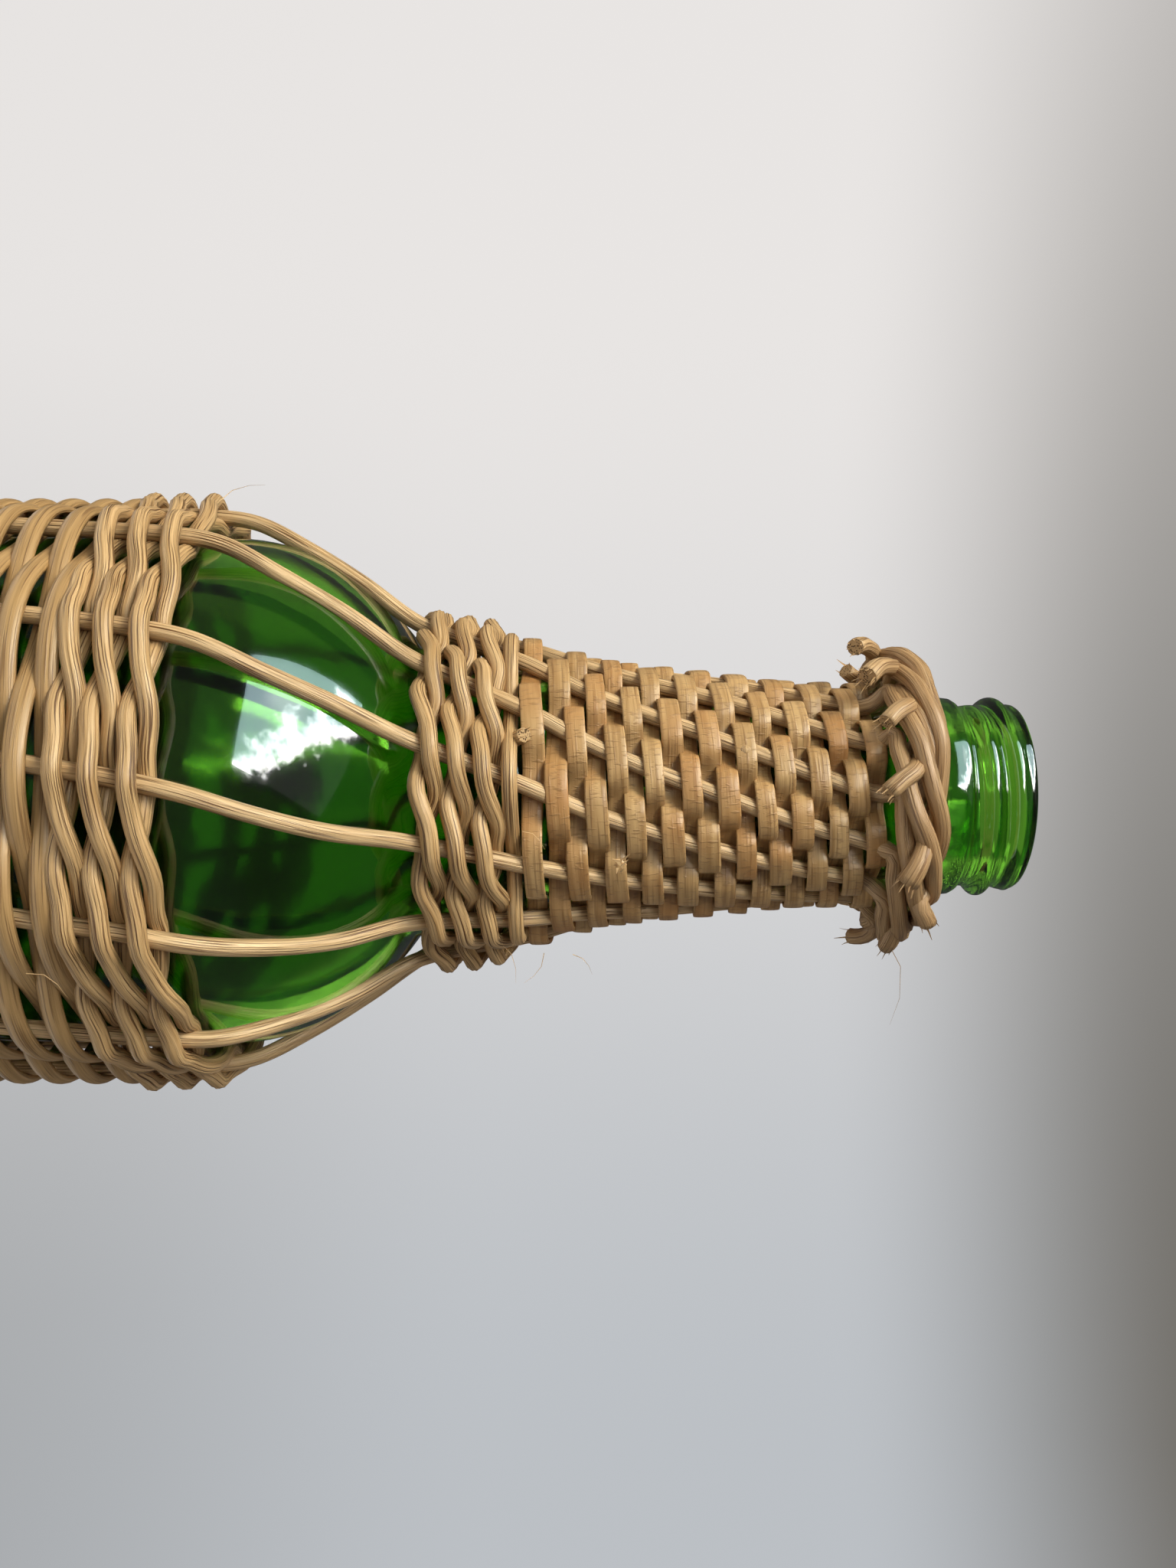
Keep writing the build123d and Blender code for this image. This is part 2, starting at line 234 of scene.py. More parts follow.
def emptyTree(owner):
    owner.use_nodes = True
    owner.node_tree.nodes.clear()
    return owner.node_tree


def newMaterial(name, inputs=()):
    material = bpy.data.materials.new(name)
    tree = emptyTree(material)
    shader = addNode(tree, "ShaderNodeBsdfPrincipled", 300, 0, inputs)
    addNode(tree, "ShaderNodeOutputMaterial", 600, 0, {"Surface": shader.outputs["BSDF"]})
    return material, tree, shader


def addBump(tree, shader, height, x, y, strength, depth):
    inputs = {"Strength": strength, "Distance": depth * mm, "Height": height}
    bump = addNode(tree, "ShaderNodeBump", x, y, inputs)
    tree.links.new(bump.outputs["Normal"], shader.inputs["Normal"])


# Lengthwise streaks, slow stains and fine dark lines of a reed, read along its UV map
fibre = dict(along=38.0, streakRange=(0.34, 0.62), lineScale=2.3, lineRange=(0.54, 0.67),
             stainScale=0.35, stainRange=(0.52, 0.8), stain=0.7)


def fibreGroup():
    group = bpy.data.node_groups.new("reedFibres", "ShaderNodeTree")
    for label, kind, value in (("Light", "NodeSocketColor", (0.6, 0.42, 0.22, 1)),
                               ("Dark", "NodeSocketColor", (0.4, 0.25, 0.11, 1)),
                               ("Line Color", "NodeSocketColor", (0.2, 0.1, 0.04, 1)),
                               ("Streaks", "NodeSocketFloat", 22.0), ("Lines", "NodeSocketFloat", 0.6)):
        group.interface.new_socket(label, in_out="INPUT", socket_type=kind).default_value = value
    group.interface.new_socket("Color", in_out="OUTPUT", socket_type="NodeSocketColor")
    group.interface.new_socket("Height", in_out="OUTPUT", socket_type="NodeSocketFloat")
    given = addNode(group, "NodeGroupInput", -1100, 0).outputs
    uv = addNode(group, "ShaderNodeUVMap", -1100, 300, uv_map="UVMap")
    split = addNode(group, "ShaderNodeSeparateXYZ", -930, 300, {0: uv.outputs["UV"]}).outputs
    around = addMath(group, "MULTIPLY", -760, 380, split["X"], given["Streaks"])
    along = addMath(group, "MULTIPLY", -760, 220, split["Y"], fibre["along"])
    place = addNode(group, "ShaderNodeCombineXYZ", -590, 300, {"X": around, "Y": along}).outputs[0]
    streak = addNoise(group, place, -420, 380, 1.0, 3.0, 0.65)
    line = addNoise(group, place, -420, 120, fibre["lineScale"], 1.0)
    stain = addNoise(group, place, -420, -140, fibre["stainScale"], 3.0)
    streakShare = addRange(group, streak, -230, 380, *fibre["streakRange"])
    tone = addMix(group, streakShare, -40, 300, given["Dark"], given["Light"])
    stainShare = addRange(group, stain, -230, -140, *fibre["stainRange"], 0.0, fibre["stain"])
    stained = addMix(group, stainShare, 140, 240, tone, given["Dark"])
    lineShare = addRange(group, line, -230, 120, *fibre["lineRange"])
    lineAmount = addMath(group, "MULTIPLY", -40, 60, lineShare, given["Lines"])
    lined = addMix(group, lineAmount, 330, 200, stained, given["Line Color"])
    height = addMath(group, "SUBTRACT", 330, -40, streak, lineAmount)
    addNode(group, "NodeGroupOutput", 700, 0, {"Color": lined, "Height": height})
    return group


fibres = fibreGroup()


def grainNode(tree, reed):
    inputs = {"Light": (*reed["light"], 1), "Dark": (*reed["dark"], 1), "Line Color": (*reed["line"], 1),
              "Streaks": reed["streaks"], "Lines": reed["lines"]}
    return addNode(tree, "ShaderNodeGroup", -200, 100, inputs, node_tree=fibres).outputs


def reedMaterial(name, reed):
    material, tree, shader = newMaterial(name, {"Roughness": reed["roughness"], "Coat Weight": reed["coat"],
                                                "Coat Roughness": 0.35})
    grain = grainNode(tree, reed)
    color, height = grain["Color"], grain["Height"]
    # over the border's height the colour darkens: partly a browner reed tone, partly painted shade standing
    # in for the border's shadows
    if "borderBrownAndShade" in reed:
        place = addNode(tree, "ShaderNodeTexCoord", -500, 500).outputs["Object"]
        z = addNode(tree, "ShaderNodeSeparateXYZ", -330, 500, {0: place}).outputs["Z"]
        low, high = reed["borderShadeFrom"] * mm, reed["borderShadeTo"] * mm
        borderBrownAndShade = addRange(tree, z, -160, 500, low, high, 0.0, reed["borderShadeShare"])
        color = addMix(tree, borderBrownAndShade, 60, 400, color, reed["borderBrownAndShade"])
    if "crack" in reed:
        color, height = addSkinMarks(tree, reed, color, height)
    tree.links.new(color, shader.inputs["Base Color"])
    addBump(tree, shader, height, 60, -200, 0.7, reed["depth"])
    return material


def addSkinMarks(tree, reed, color, height):
    # the glossy skin of cane: fine cracks across it, and honey to orange patches
    uv = addNode(tree, "ShaderNodeUVMap", -1100, -300, uv_map="UVMap").outputs["UV"]
    crackPlace = addNode(tree, "ShaderNodeMapping", -930, -300, {"Vector": uv, "Scale": reed["crackScale"]})
    crack = addNoise(tree, crackPlace.outputs[0], -760, -300, 1.6, 2.0)
    crack = addRange(tree, crack, -590, -300, *reed["crackRange"])
    patchPlace = addNode(tree, "ShaderNodeMapping", -930, -600, {"Vector": uv, "Scale": reed["patchScale"]})
    patch = addNoise(tree, patchPlace.outputs[0], -760, -600, 1.0, 2.0)
    patch = addRange(tree, patch, -590, -600, *reed["patchRange"], 0.0, reed["patchShare"])
    warm = addMix(tree, patch, -20, 320, color, reed["patch"])
    crackTint = addMath(tree, "MULTIPLY", -20, 520, crack, reed["crackShare"])
    cracked = addMix(tree, crackTint, 140, 320, warm, reed["crack"])
    return cracked, addMath(tree, "SUBTRACT", -100, -320, height, crack)


roundReed = dict(light=(0.64, 0.40, 0.18), dark=(0.40, 0.22, 0.078), line=(0.13, 0.052, 0.014),
                 streaks=18.0, lines=1.0, roughness=0.46, depth=0.3, coat=0.25)
# the stakes are paler; over the border's height they turn a deeper brown, partly the reed's browner tone and
# partly painted shade for the border's shadows
stakeReed = dict(light=(0.74, 0.49, 0.245), dark=(0.46, 0.265, 0.105), line=(0.17, 0.072, 0.02),
                 streaks=22.0, lines=1.0, roughness=0.46, depth=0.28, coat=0.25,
                 borderBrownAndShade=(0.28, 0.138, 0.05), borderShadeFrom=272, borderShadeTo=281, borderShadeShare=0.62)
bodyReed = dict(light=(0.50, 0.295, 0.116), dark=(0.33, 0.182, 0.063), line=(0.15, 0.065, 0.018),
                streaks=15.0, lines=0.65, roughness=0.42, depth=0.1, coat=0.3)
splitCane = dict(light=(0.56, 0.34, 0.14), dark=(0.36, 0.192, 0.066), line=(0.18, 0.072, 0.02),
                 streaks=9.0, lines=0.5, roughness=0.4, depth=0.07, coat=0.35,
                 crack=(0.26, 0.13, 0.045), crackScale=(3.0, 1500.0, 1.0), crackRange=(0.55, 0.66),
                 crackShare=0.5, patch=(0.42, 0.175, 0.045), patchScale=(0.6, 75.0, 1.0),
                 patchRange=(0.46, 0.72), patchShare=0.7)
cutReed = dict(pore=(0.07, 0.03, 0.01), wood=(0.46, 0.28, 0.125), poreScale=3600.0, poreRange=(0.22, 0.42),
               roughness=0.8, depth=0.15)
greenGlass = dict(color=(0.11, 0.345, 0.022), roughness=0.1, specular=0.25, coatRoughness=0.02, ior=1.5,
                  waveScale=90.0, peelScale=900.0, peelShare=0.04, depth=0.3)


def cutMaterial():
    # a cut end shows the pores of the reed
    material, tree, shader = newMaterial("cutReedEnd", {"Roughness": cutReed["roughness"]})
    place = addNode(tree, "ShaderNodeTexCoord", -900, 0).outputs["Object"]
    cells = addNode(tree, "ShaderNodeTexVoronoi", -700, 0, {"Vector": place, "Scale": cutReed["poreScale"]})
    pores = addRange(tree, cells.outputs["Distance"], -500, 0, *cutReed["poreRange"])
    color = addMix(tree, pores, -300, 0, cutReed["pore"], cutReed["wood"])
    tree.links.new(color, shader.inputs["Base Color"])
    addBump(tree, shader, pores, 0, -200, 1.0, cutReed["depth"])
    return material


def glassMaterial():
    # slow waves and a fine peel, as moulded glass has
    material, tree, shader = newMaterial("greenGlass", {
        "Base Color": (*greenGlass["color"], 1), "Roughness": greenGlass["roughness"],
        "Specular IOR Level": greenGlass["specular"], "IOR": greenGlass["ior"], "Transmission Weight": 1.0,
        "Coat Weight": 1.0, "Coat Roughness": greenGlass["coatRoughness"]})
    place = addNode(tree, "ShaderNodeTexCoord", -900, -200).outputs["Object"]
    wave = addNoise(tree, place, -700, -120, greenGlass["waveScale"], 2.0)
    peel = addNoise(tree, place, -700, -360, greenGlass["peelScale"], 1.0)
    peel = addMath(tree, "MULTIPLY", -500, -360, peel, greenGlass["peelShare"])
    addBump(tree, shader, addMath(tree, "ADD", -300, -240, wave, peel), 0, -240, 0.5, greenGlass["depth"])
    return material


roundSkin, stakeSkin = reedMaterial("roundReed", roundReed), reedMaterial("stakeReed", stakeReed)
bodySkin, caneSkin = reedMaterial("bodyReed", bodyReed), reedMaterial("splitCane", splitCane)
cutSkin, glassSkin = cutMaterial(), glassMaterial()
print("materials made")

# Glass bottle: rings pulled up from the foot, over the lip and down inside. Shapes are radii and heights, the
# foot's counted from its seat, the bead's from its lower edge and the lip's from the top
glass = dict(segments=160, wall=2.5, centre=8.0, centreRise=2.0, finish=13.15, finishRise=5.3,
             sideStart=14, sideStep=6, domeStep=1.6, domeRings=16, neckStep=2.6, neckRings=28,
             finishStep=0.22, finishRings=31, boreHeights=(294, 288, 280, 272),
             wallHeights=(176, 150, 110, 70, 40, 20),
             footShape=[(12, 1.9), (22, 1.3), (28, 0.35), (30.5, 0), (33, 0.5), (34.8, 1.7), (36.0, 3.6),
                        (36.4, 5.2)],
             beadShape=[(12.4, -0.7), (12.9, -0.3), (13.6, -0.05), (14.1, 0.4), (14.38, 1.0), (14.45, 2.0),
                        (14.45, 3.0), (14.35, 3.9), (14.0, 4.5), (13.5, 4.85), (13.2, 5.1)],
             lipShape=[(13.3, -1.45), (13.5, -1.25), (13.55, -0.9), (13.5, -0.55), (13.3, -0.25),
                       (12.9, -0.05), (12.3, 0), (10.9, 0), (10.1, -0.15), (9.55, -0.5), (9.3, -1.0),
                       (9.25, -2.0)],
             insideShape=[(9.3, 264), (9.8, 257), (10.9, 250), (12.1, 243), (13.3, 236), (14.6, 229),
                          (16.0, 222), (17.4, 216), (19.2, 212), (22.0, 208.7), (25.5, 204.5), (28.6, 200),
                          (31.2, 195), (33.0, 190), (33.9, 185)],
             floorShape=[(33.2, 14), (31.0, 11.3), (26, 10.8), (16, 12.2), (8, 12.7)])
thread = dict(low=291.4, high=298.6, start=293.1, lead=0.25, turns=1.55, pitch=3.5, width=1.5, height=1.4,
              fadeIn=9, fadeOut=5, narrow=1.25, blunt=2.6)
wave = dict(top=284.0, slowScale=0.06, slowDepth=0.12, quickScale=0.17, quickDepth=0.02, outsideShare=0.12)


def glassProfile():
    side, wide = bottle["bodyRadius"], bottle["bodyRadius"] - glass["wall"]
    curve = [bottle["bodyTop"] + glass["domeStep"] * i for i in range(glass["domeRings"])]
    curve += [bottle["neckRoot"] + glass["neckStep"] * i for i in range(glass["neckRings"])]
    finishRises = [glass["finishRise"] + glass["finishStep"] * i for i in range(glass["finishRings"])]
    profile = [(radius, bottle["seat"] + rise) for radius, rise in glass["footShape"]]
    profile += [(side, z) for z in range(glass["sideStart"], int(bottle["bodyTop"]), glass["sideStep"])]
    profile += [(glassRadius(z), z) for z in curve]
    profile += [(radius, bottle["beadBottom"] + rise) for radius, rise in glass["beadShape"]]
    profile += [(glass["finish"], bottle["beadBottom"] + rise) for rise in finishRises]
    profile += [(radius, bottle["height"] + rise) for radius, rise in glass["lipShape"]]
    profile += [(bottle["mouth"], z) for z in glass["boreHeights"]] + glass["insideShape"]
    return profile + [(wide, z) for z in glass["wallHeights"]] + glass["floorShape"]


def buildGlass():
    radius, z = glass["centre"], bottle["seat"] + glass["centreRise"]
    bpy.ops.object.select_all(action="DESELECT")
    bpy.ops.mesh.primitive_circle_add(vertices=glass["segments"], radius=radius * mm, fill_type="NGON",
                                      location=(0, 0, z * mm))
    piece = bpy.context.active_object
    piece.name = piece.data.name = "glassBottle"
    bpy.ops.object.mode_set(mode="EDIT")
    bpy.ops.mesh.select_all(action="SELECT")
    bpy.ops.mesh.flip_normals()
    for nextRadius, nextZ in glassProfile():
        bpy.ops.mesh.extrude_edges_move(TRANSFORM_OT_translate={"value": (0, 0, (nextZ - z) * mm)})
        scale = nextRadius / radius
        bpy.ops.transform.resize(value=(scale, scale, 1), center_override=(0, 0, nextZ * mm))
        radius, z = nextRadius, nextZ
    bpy.ops.mesh.edge_face_add()
    bpy.ops.mesh.select_all(action="SELECT")
    bpy.ops.mesh.normals_make_consistent(inside=False)
    bpy.ops.object.mode_set(mode="OBJECT")
    bpy.ops.object.transform_apply(location=True, rotation=True, scale=True)
    for vertex in piece.data.vertices:
        shapeGlass(vertex)
    bpy.ops.object.shade_smooth()
    return piece


def threadPush(place, angle):
    push = 0.0
    for turn in range(-1, 4):
        along = angle + thread["lead"] + turn  # turns since the thread's start, at the left
        if 0 <= along <= thread["turns"]:
            fade = min(1.0, along * thread["fadeIn"])
            fade *= min(1.0, (thread["turns"] - along) * thread["fadeOut"])
            off = (place.z - thread["start"] - thread["pitch"] * along) / thread["width"]
            push = max(push, thread["height"] * fade * exp(-(abs(off) * thread["narrow"]) ** thread["blunt"]))
    return push


def shapeGlass(vertex):
    # the screw thread, and slow waves that are stronger on the inside
    place = vertex.co / mm
    radius = hypot(place.x, place.y)
    if radius < 1:
        return
    push = 0.0
    if thread["low"] < place.z < thread["high"] and radius > bottle["neckTop"]:
        push = threadPush(place, atan2(place.x, -place.y) / (2 * pi))
    if place.z < wave["top"]:
        inside = radius < glassRadius(place.z) - glass["wall"] / 2
        swell = noise.noise(place * wave["slowScale"]) * wave["slowDepth"]
        swell += noise.noise(place * wave["quickScale"]) * wave["quickDepth"]
        push += swell if inside else swell * wave["outsideShare"]
    grow = (radius + push) / radius
    vertex.co = Vector((place.x * grow, place.y * grow, place.z)) * mm


glassPiece = buildGlass()
glassPiece.data.materials.append(glassSkin)
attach(glassPiece, "root")
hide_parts("glass_bottle")
print("glass made")

# Stakes: upright reeds that twist over the dome and coil into the border
stake = dict(radius=1.1, sides=20, ridges=0.06, foot=0.4, entry=276.7, knots=36, knotStep=7.9, jitter=0.06)
border = dict(ring=17.8, height=282.5, coil=2.7, start=-95.0, end=200.0, advance=121.2, lead=2.0, radius=1.2,
              knots=15, swing=9.0, wander=16.0, looseness=0.22, coilSpread=(-0.15, 0.25), tailLead=18,
              stoutFrom=280, stoutOver=12, tip=5)
filler = dict(count=7, step=1.86, coil=1.7, advance=66.0)
# where each stake's tip comes out: its angle, how far out, how high, its height half way and its size
tails = [(217, 22.2, 276.9, 280.8, 1.0), (245, 21.2, 277.6, 280.6, 1.0), (-68, 22.6, 275.5, 279.6, 1.0),
         (-45, 22.9, 275.6, 280.4, 1.15), (-26, 22.4, 277.3, 281.0, 0.95), (-1.4, 22.2, 277.2, 281.2, 1.0),
         (29, 23.3, 280.2, 282.6, 1.32), (51, 22.2, 284.6, 283.2, 1.05), (80, 22.0, 281.2, 281.6, 1.0),
         (106, 22.3, 278.0, 280.8, 0.95), (136, 22.4, 277.0, 280.9, 1.05), (163, 22.0, 278.2, 281.4, 1.0),
         (191, 22.4, 279.4, 281.8, 1.15)]


def borderKnots(place, pick, coilSize, advance):
    start = place * stakeStep + tableValue(leanTable, stake["entry"]) + border["lead"]
    knots, shift, swing = [], pick.uniform(0, 50), pick.uniform(-border["swing"], border["swing"])
    for i in range(border["knots"]):
        share = i / (border["knots"] - 1)
        wander = border["wander"] * waver(shift + i * 0.35, place, 2.0)
        turn = border["start"] + share * (border["end"] - border["start"])
        turn += (swing + wander) * min(share * 4, 1)
        coil = coilSize * (1 + border["looseness"] * waver(shift + i * 0.4, 8.0, place))
        reach, rise = coil * cos(radians(turn)), coil * sin(radians(turn))
        knots.append(ringPoint(start + share * advance, border["ring"] + reach, border["height"] + rise))
    return knots, start + advance


# Splinters: thin three-sided splits of reed that taper to a point, all in one mesh
splinter = dict(sides=3, taper=0.85, root=1.3, inset=0.86, long=(0.7, 2.1), lean=(0.1, 1.0),
                thick=(0.12, 0.26))
frayPoints, frayFaces = [], []


def addSplinter(points, thick):
    first, sides = len(frayPoints), splinter["sides"]
    for i, point in enumerate(points):
        ahead, behind = points[min(i + 1, len(points) - 1)], points[max(i - 1, 0)]
        along = (ahead - behind).normalized()
        across = along.cross(Vector((0.3, 0.5, 0.8))).normalized()
        out = along.cross(across)
        size = thick * (1 - splinter["taper"] * i / (len(points) - 1))
        for k in range(sides):
            turn = 2 * pi * k / sides
            frayPoints.append((point + across * size * cos(turn) + out * size * sin(turn)) * mm)
    last = first + (len(points) - 1) * sides
    frayFaces.extend(ringFaces(first, len(points), sides))
    frayFaces.extend([(first + 2, first + 1, first), (last, last + 1, last + 2)])


def frayEnd(path, radius, count, spread, pick):
    # splinters stand round the cut end and lean outwards
    tip, along = path[-1], (path[-1] - path[-4]).normalized()
    side = along.cross(Vector((0, 0, 1)) if abs(along.z) < 0.9 else Vector((1, 0, 0))).normalized()
    other = along.cross(side)
    for k in range(count):
        turn = 2 * pi * (k + pick.uniform(-0.3, 0.3)) / count
        out = side * cos(turn) + other * sin(turn)
        long, lean = pick.uniform(*splinter["long"]), pick.uniform(*splinter["lean"]) * spread
        root = tip + out * radius * splinter["inset"] - along * splinter["root"]
        steps = ((0, 0), (1.1, 0.04), (splinter["root"] + long * 0.5, lean * 0.4),
                 (splinter["root"] + long, lean))
        points = [root + along * ahead + out * aside for ahead, aside in steps]
        addSplinter(points, pick.uniform(*splinter["thick"]))


def buildStake(index):
    pick = Random(100 + index)
    jitter = lambda: pick.uniform(-stake["jitter"], stake["jitter"])
    knots = [stakePoint(index, stake["foot"] + i * stake["knotStep"]) + Vector((jitter(), jitter(), 0))
             for i in range(stake["knots"])]
    coil = border["coil"] + pick.uniform(*border["coilSpread"])
    coilKnots, end = borderKnots(index, pick, coil, border["advance"])
    angle, reach, low, middle, size = tails[index]
    angle += 360 * round((end + border["tailLead"] - angle) / 360)
    away = angle - end
    knots = [knot for knot in knots if knot.z < stake["entry"] - 3] + [stakePoint(index, stake["entry"])]
    knots += coilKnots + [ringPoint(end + away * 0.2, border["ring"] + 0.2, middle + 0.6),
                          ringPoint(end + away * 0.48, 20.7, middle),
                          ringPoint(end + away * 0.75, reach - 0.4, middle * 0.45 + low * 0.55),
                          ringPoint(angle, reach, low)]
    path = smoothPath(knots, 1.0)
    total = sum((b - a).length for a, b in zip(path, path[1:]))
    # the reed is stouter in the border, and its tip is as crushed as the photo shows it
    atBorder = lambda run: min(max((run - border["stoutFrom"]) / border["stoutOver"], 0), 1)
    atTip = lambda run: min(max((run - total + border["tip"]) / border["tip"], 0), 1)
    stout = border["radius"] / stake["radius"] - 1
    section = roundSection(stake["radius"], stake["sides"], stake["ridges"], index)
    sweepStrand(f"stake{index + 1:02d}", path, section, stakeSkin, f"stake_{index + 1:02d}",
                roll=lambda i, run: 0.35 * waver(run * 0.02, index * 3.7, 0.5),
                swell=lambda i, run: 1.0 + stout * atBorder(run) + (size - 1) * atTip(run))
    extra, spread = (6, 1.0) if size > 1.1 else (0, 0.5)  # a crushed tip frays more
    frayEnd(path, stake["radius"] * size, 4 + index % 3 + extra, spread, pick)


def buildFiller(index):
    # a short reed pushed in beside the stakes to fill out the border
    pick = Random(200 + index)
    knots = borderKnots(index * filler["step"] + 0.5, pick, filler["coil"], filler["advance"])[0]
    path = smoothPath(knots[1:12], 1.0)
    section = roundSection(border["radius"], stake["sides"], stake["ridges"], index + 60)
    sweepStrand(f"borderReed{index + 1:02d}", path, section, stakeSkin)
    frayEnd(path, border["radius"], 5, 0.6, pick)


for index in range(stakeCount):
    buildStake(index)
for index in range(filler["count"]):
    buildFiller(index)
print("stakes made")

# Body: half-round reed in one long plain weave
body = dict(start=5.6, pitch=2.457, width=2.8, thick=1.15, crown=0.75, rows=68.77, weavers=11, fine=13,
            clearance=0.08, waver=0.28)
bodySteps = round(body["rows"] * stakeCount)


def bodyPoint(place):
    z = body["start"] + body["pitch"] * place / stakeCount + body["waver"] * waver(place * 0.37, 3.1, 0)
    reach = stake["radius"] + body["clearance"] + body["thick"] / 2
    return stakePoint(place + weaveStart, z, -reach * cos(pi * place))


for number in range(body["weavers"]):
    first = round(bodySteps * number / body["weavers"])
    last = round(bodySteps * (number + 1) / body["weavers"])
    path = [bodyPoint(first + i / body["fine"] + 0.03) for i in range((last - first) * body["fine"] - 1)]
    sweepStrand(f"bodyWeaver{number + 1:02d}", path, flatSection(body["width"], body["thick"], body["crown"]),
                bodySkin, f"body_weaver_{number + 1:02d}",
                roll=lambda i, run: 0.16 * waver(run * 0.045, 7.7, first),
                swell=lambda i, run: 1 + 0.06 * waver(run * 0.02, first, 1.3))
print("body woven")

# Neck: flat cane in plain weave, with a wider first round
cane = dict(start=229.1, firstPitch=4.0, pitch=2.56, width=2.86, thick=0.62, crown=0.18, weavers=9,
            stepsEach=26, lastSteps=37, fine=16, clearance=0.1, flatness=1.9, tip=0.18, waver=0.34)


def canePoint(place):
    first = min(place, stakeCount)
    z = cane["start"] + (cane["firstPitch"] * first + cane["pitch"] * (place - first)) / stakeCount
    z += cane["tip"] * sin(pi * place) + cane["waver"] * waver(place * 0.53, 9.4, 0)
    reach = stake["radius"] + cane["clearance"] + cane["thick"] / 2
    swing = tanh(cane["flatness"] * cos(pi * place)) / tanh(cane["flatness"])
    return stakePoint(place + weaveStart, z, reach * swing)


for number in range(cane["weavers"]):
    first = number * cane["stepsEach"]
    steps = cane["stepsEach"] if number < cane["weavers"] - 1 else cane["lastSteps"]
    path = [canePoint(first + i / cane["fine"] + 0.02) for i in range(steps * cane["fine"])]
    sweepStrand(f"neckCane{number + 1:02d}", path, flatSection(cane["width"], cane["thick"], cane["crown"]),
                caneSkin, f"neck_cane_{number + 1:02d}",
                roll=lambda i, run: 0.12 * waver(run * 0.14, 2.2, first),
                swell=lambda i, run: 1.0 + 0.16 * waver(run * 0.05, first, 6.6))
print("neck woven")

# Foot wale: three round reeds, each over two stakes and behind one
foot = dict(height=2.4, radius=1.05, rods=3, fine=14, sides=16, ridges=0.04,
            offsets=[(0, 2.1), (0.5, 2.3), (1, 2.1), (1.5, 0.1), (2, -2.1), (2.5, 0.1)],
            rises=[(0, -1.2), (0.5, 0.0), (1, 1.2), (1.5, 1.1), (2, 0.0), (2.5, -1.1)])


def strokeValue(stations, place):
    # the stations repeat every three stakes
    span = foot["rods"]
    wrapped = [(x - span, y) for x, y in stations[-2:]] + stations + [(x + span, y) for x, y in stations[:2]]
    return tableValue(wrapped, place % span)


def footPoint(place, rod):
    z = foot["height"] + strokeValue(foot["rises"], place - rod)
    return stakePoint(place + weaveStart, z, strokeValue(foot["offsets"], place - rod))


for rod in range(foot["rods"]):
    path = [footPoint(i / foot["fine"], rod) for i in range(stakeCount * foot["fine"])]
    section = roundSection(foot["radius"], foot["sides"], foot["ridges"], rod + 40)
    sweepStrand(f"footWale{rod + 1}", path, section, roundSkin, f"foot_wale_{rod + 1}")

# Paired rows: two round reeds that twist half a turn round each other between the stakes
pairRow = dict(rows=3, fine=15, sides=22, ridges=0.075, settle=2.6, lift=1.12, clearance=0.1, waver=0.25,
               twistLimit=28, twistEase=0.13, twistWaver=7)
pairs = (dict(name="shoulder", start=174.6, pitch=4.3, radius=1.15, apart=1.13, wide=2.36, twist=-26,
              drift=0),
         dict(name="neck", start=215.3, pitch=4.0, radius=1.12, apart=1.1, wide=2.32, twist=38, drift=-26))


def pairPoint(row, place, rod):
    count, limit = floor(place), pairRow["twistLimit"]
    share = place - count
    z = row["start"] + row["pitch"] * place / stakeCount
    near = min(share, 1 - share) * 2 * pi * tableValue(reachTable, z) / stakeCount
    twist = min(max(row["twist"] + row["drift"] * place / stakeCount, -limit), limit)
    eased = share - pairRow["twistEase"] * sin(2 * pi * share)
    angle = radians(twist + 180 * eased + pairRow["twistWaver"] * waver(place * 0.8, rod, 4.4))
    half = row["apart"] + (row["wide"] - row["apart"]) * exp(-(near / pairRow["settle"]) ** 2)
    side = 1 if (count + rod) % 2 == 0 else -1
    z += pairRow["waver"] * waver(place * 0.5, 6.1, row["pitch"])
    z += side * row["apart"] * pairRow["lift"] * sin(angle)
    return stakePoint(place + weaveStart, z, side * half * cos(angle) + pairRow["clearance"])


for row in pairs:
    for turn in range(pairRow["rows"]):
        for rod in range(2):
            path = [pairPoint(row, turn * stakeCount + (i + 0.4) / pairRow["fine"], rod)
                    for i in range(stakeCount * pairRow["fine"])]
            section = roundSection(row["radius"], pairRow["sides"], pairRow["ridges"], rod + turn * 2 + 40)
            sweepStrand(f"{row['name']}Pair{turn + 1}{'ab'[rod]}", path, section, roundSkin,
                        f"{row['name']}_wale_{turn + 1}",
                        roll=lambda i, run: run * 0.02 + 0.5 * waver(run * 0.03, rod, turn))

closing = dict(start=226.25, pitch=4.0, radius=1.05, clearance=0.05, fine=16)


def closingPoint(place):
    z = closing["start"] + closing["pitch"] * place / stakeCount
    reach = stake["radius"] + closing["radius"] + closing["clearance"]
    return stakePoint(place + weaveStart, z, -reach * cos(pi * place))


path = [closingPoint(i / closing["fine"]) for i in range(stakeCount * closing["fine"])]
section = roundSection(closing["radius"], foot["sides"], foot["ridges"], 77)
sweepStrand("closingRod", path, section, roundSkin, "closing_rod")
print("wales made")

# Marks on the neck: the cut end of a reed, leaf nodes, a lifted chip of pale skin
plug = dict(points=((-20.5, 20.2, 228.0), (-20.0, 21.6, 228.7), (-19.6, 23.0, 229.6)), radius=1.02, sides=16,
            ridges=0.05)
path = smoothPath([ringPoint(*point) for point in plug["points"]], 0.6)
section = roundSection(plug["radius"], plug["sides"], plug["ridges"], 91)
sweepStrand("reedEnd", path, section, roundSkin)
frayEnd(path, 1.0, 5, 0.4, Random(31))
leafNode = dict(places=(112.02, 59.9, 85.95, 177.1, 146.1, 204.0), width=1.9, thick=0.5, length=0.14,
                crown=0.9, steps=9, sunk=0.12)


